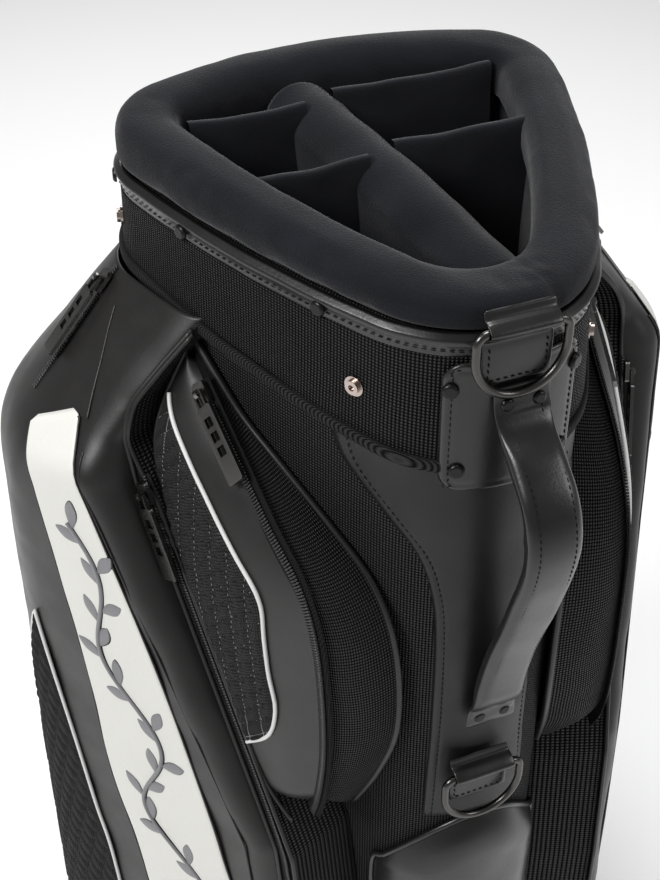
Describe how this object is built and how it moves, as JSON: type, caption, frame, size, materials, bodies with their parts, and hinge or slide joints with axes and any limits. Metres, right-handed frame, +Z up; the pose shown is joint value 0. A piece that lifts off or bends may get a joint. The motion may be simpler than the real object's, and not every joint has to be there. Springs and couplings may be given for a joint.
{
  "type": "golf staff bag",
  "caption": "Free-standing golf staff bag: rounded-triangle tube with plush divided mouth, snap collar, bowed leather handle, strap rings and zipped leather pockets.",
  "frame": {"origin": "centre of the flat underside of the rubber base pad, under the middle of the tube", "axes": "+Z up the tube, -Y towards the spine with the handle and rings, +Y towards the ball pocket, +X to the right seen from the spine"},
  "size_m": [0.508, 0.4681, 0.8776],
  "materials": {
    "rubber": "matt, fine grain",
    "moulded_plastic": "fine texture",
    "mesh_fabric": "open double-weave mesh",
    "lining": "smooth woven lining",
    "plush": "short velour pile",
    "trim_leather": "smooth with soft gloss and stitched edges",
    "ballistic_nylon": "coarse basket weave",
    "webbing": "ribbed binding",
    "dark_metal": "gunmetal plate",
    "pocket_leather": "matt synthetic leather",
    "white_leather": "matt off-white synthetic leather",
    "zip_coil": "nylon coil on woven tape"
  },
  "bodies": {
    "bag": {"back_pad": "trim_leather", "ball_pocket": "pocket_leather", "ball_zip": "zip_coil", "base_pad": "rubber", "base_tray": "moulded_plastic", "body_shell": "mesh_fabric", "centre_divider": "plush", "centre_sheet": "lining", "collar_band": "ballistic_nylon", "collar_hem": "webbing", "collar_snaps": "dark_metal", "cross_divider_back_left": "plush", "cross_divider_back_right": "plush", "cross_divider_front_left": "plush", "cross_divider_front_right": "plush", "cuff": "plush", "cuff_trim": "trim_leather", "garment_pocket_left": "pocket_leather", "garment_pocket_right": "pocket_leather", "garment_zip_left": "zip_coil", "garment_zip_right": "zip_coil", "handle": "trim_leather", "handle_patch": "trim_leather", "handle_rivets": "dark_metal", "lower_ring_strap": "trim_leather", "patch_rivets": "dark_metal", "side_panel_left": "white_leather", "side_panel_right": "white_leather", "side_pocket_left": "pocket_leather", "side_pocket_right": "pocket_leather", "side_zip_left": "zip_coil", "side_zip_right": "zip_coil", "spine_panel": "trim_leather", "throat_frame": "moulded_plastic", "top_zip_left": "zip_coil", "top_zip_right": "zip_coil", "trim_rivets": "dark_metal", "tube_lining": "lining", "upper_ring_strap": "trim_leather", "valuables_pocket": "pocket_leather", "valuables_zip": "zip_coil"},
    "side_slider_left": {"side_slider_left": "dark_metal"},
    "side_pull_left": {"side_pull_left": "dark_metal"},
    "side_slider_right": {"side_slider_right": "dark_metal"},
    "side_pull_right": {"side_pull_right": "dark_metal"},
    "garment_slider_left": {"garment_slider_left": "dark_metal"},
    "garment_pull_left": {"garment_pull_left": "dark_metal"},
    "garment_slider_right": {"garment_slider_right": "dark_metal"},
    "garment_pull_right": {"garment_pull_right": "dark_metal"},
    "top_slider_left": {"top_slider_left": "dark_metal"},
    "top_pull_left": {"top_pull_left": "dark_metal"},
    "top_slider_right": {"top_slider_right": "dark_metal"},
    "top_pull_right": {"top_pull_right": "dark_metal"},
    "ball_slider": {"ball_slider": "dark_metal"},
    "ball_pull": {"ball_pull": "dark_metal"},
    "valuables_slider": {"valuables_slider": "dark_metal"},
    "valuables_pull": {"valuables_pull": "dark_metal"},
    "upper_ring": {"upper_ring": "dark_metal"},
    "lower_ring": {"lower_ring": "dark_metal"}
  },
  "joints": [
    {"name": "side_zip_slide_left", "type": "slide", "parent": "bag", "child": "side_slider_left", "axis": [0.1192, -0.8039, -0.5827], "range_m": [0, 0.09]},
    {"name": "side_pull_hinge_left", "type": "hinge", "parent": "side_slider_left", "child": "side_pull_left", "pos_m": [-0.14293, -0.05592, 0.72874], "axis": [-0.4753, 0.4691, -0.7444], "range_deg": [0, 110]},
    {"name": "side_zip_slide_right", "type": "slide", "parent": "bag", "child": "side_slider_right", "axis": [-0.1192, -0.8039, -0.5827], "range_m": [0, 0.09]},
    {"name": "side_pull_hinge_right", "type": "hinge", "parent": "side_slider_right", "child": "side_pull_right", "pos_m": [0.14293, -0.05592, 0.72874], "axis": [-0.4753, -0.4691, 0.7444], "range_deg": [0, 110]},
    {"name": "garment_zip_slide_left", "type": "slide", "parent": "bag", "child": "garment_slider_left", "axis": [0.1589, -0.3788, -0.9117], "range_m": [0, 0.2]},
    {"name": "garment_pull_hinge_left", "type": "hinge", "parent": "garment_slider_left", "child": "garment_pull_left", "pos_m": [-0.1851, -0.05409, 0.658], "axis": [-0.3527, 0.8407, -0.4108], "range_deg": [0, 110]},
    {"name": "garment_zip_slide_right", "type": "slide", "parent": "bag", "child": "garment_slider_right", "axis": [-0.1589, -0.3788, -0.9117], "range_m": [0, 0.2]},
    {"name": "garment_pull_hinge_right", "type": "hinge", "parent": "garment_slider_right", "child": "garment_pull_right", "pos_m": [0.1851, -0.05409, 0.658], "axis": [-0.3527, -0.8407, 0.4108], "range_deg": [0, 110]},
    {"name": "top_zip_slide_left", "type": "slide", "parent": "bag", "child": "top_slider_left", "axis": [-0.619, 0.0324, -0.7847], "range_m": [0, 0.06]},
    {"name": "top_pull_hinge_left", "type": "hinge", "parent": "top_slider_left", "child": "top_pull_left", "pos_m": [-0.17497, 0.04888, 0.76321], "axis": [0.0523, 0.9986, 0], "range_deg": [0, 110]},
    {"name": "top_zip_slide_right", "type": "slide", "parent": "bag", "child": "top_slider_right", "axis": [0.619, 0.0324, -0.7847], "range_m": [0, 0.06]},
    {"name": "top_pull_hinge_right", "type": "hinge", "parent": "top_slider_right", "child": "top_pull_right", "pos_m": [0.17497, 0.04888, 0.76321], "axis": [0.0523, -0.9986, 0], "range_deg": [0, 110]},
    {"name": "ball_zip_slide", "type": "slide", "parent": "bag", "child": "ball_slider", "axis": [0, 0, -1], "range_m": [0, 0.2]},
    {"name": "ball_pull_hinge", "type": "hinge", "parent": "ball_slider", "child": "ball_pull", "pos_m": [0.06325, 0.19484, 0.456], "axis": [0.9889, -0.1483, 0], "range_deg": [0, 110]},
    {"name": "valuables_zip_slide", "type": "slide", "parent": "bag", "child": "valuables_slider", "axis": [0, 0, -1], "range_m": [0, 0.07]},
    {"name": "valuables_pull_hinge", "type": "hinge", "parent": "valuables_slider", "child": "valuables_pull", "pos_m": [-0.05928, 0.15903, 0.672], "axis": [0.9884, 0.1518, 0], "range_deg": [0, 110]},
    {"name": "upper_ring_hinge", "type": "hinge", "parent": "bag", "child": "upper_ring", "pos_m": [-0.005, -0.2115, 0.837], "axis": [-1, 0, 0], "range_deg": [0, 140]},
    {"name": "lower_ring_hinge", "type": "hinge", "parent": "bag", "child": "lower_ring", "pos_m": [-0.005, -0.2115, 0.48], "axis": [-1, 0, 0], "range_deg": [0, 140]}
  ]
}
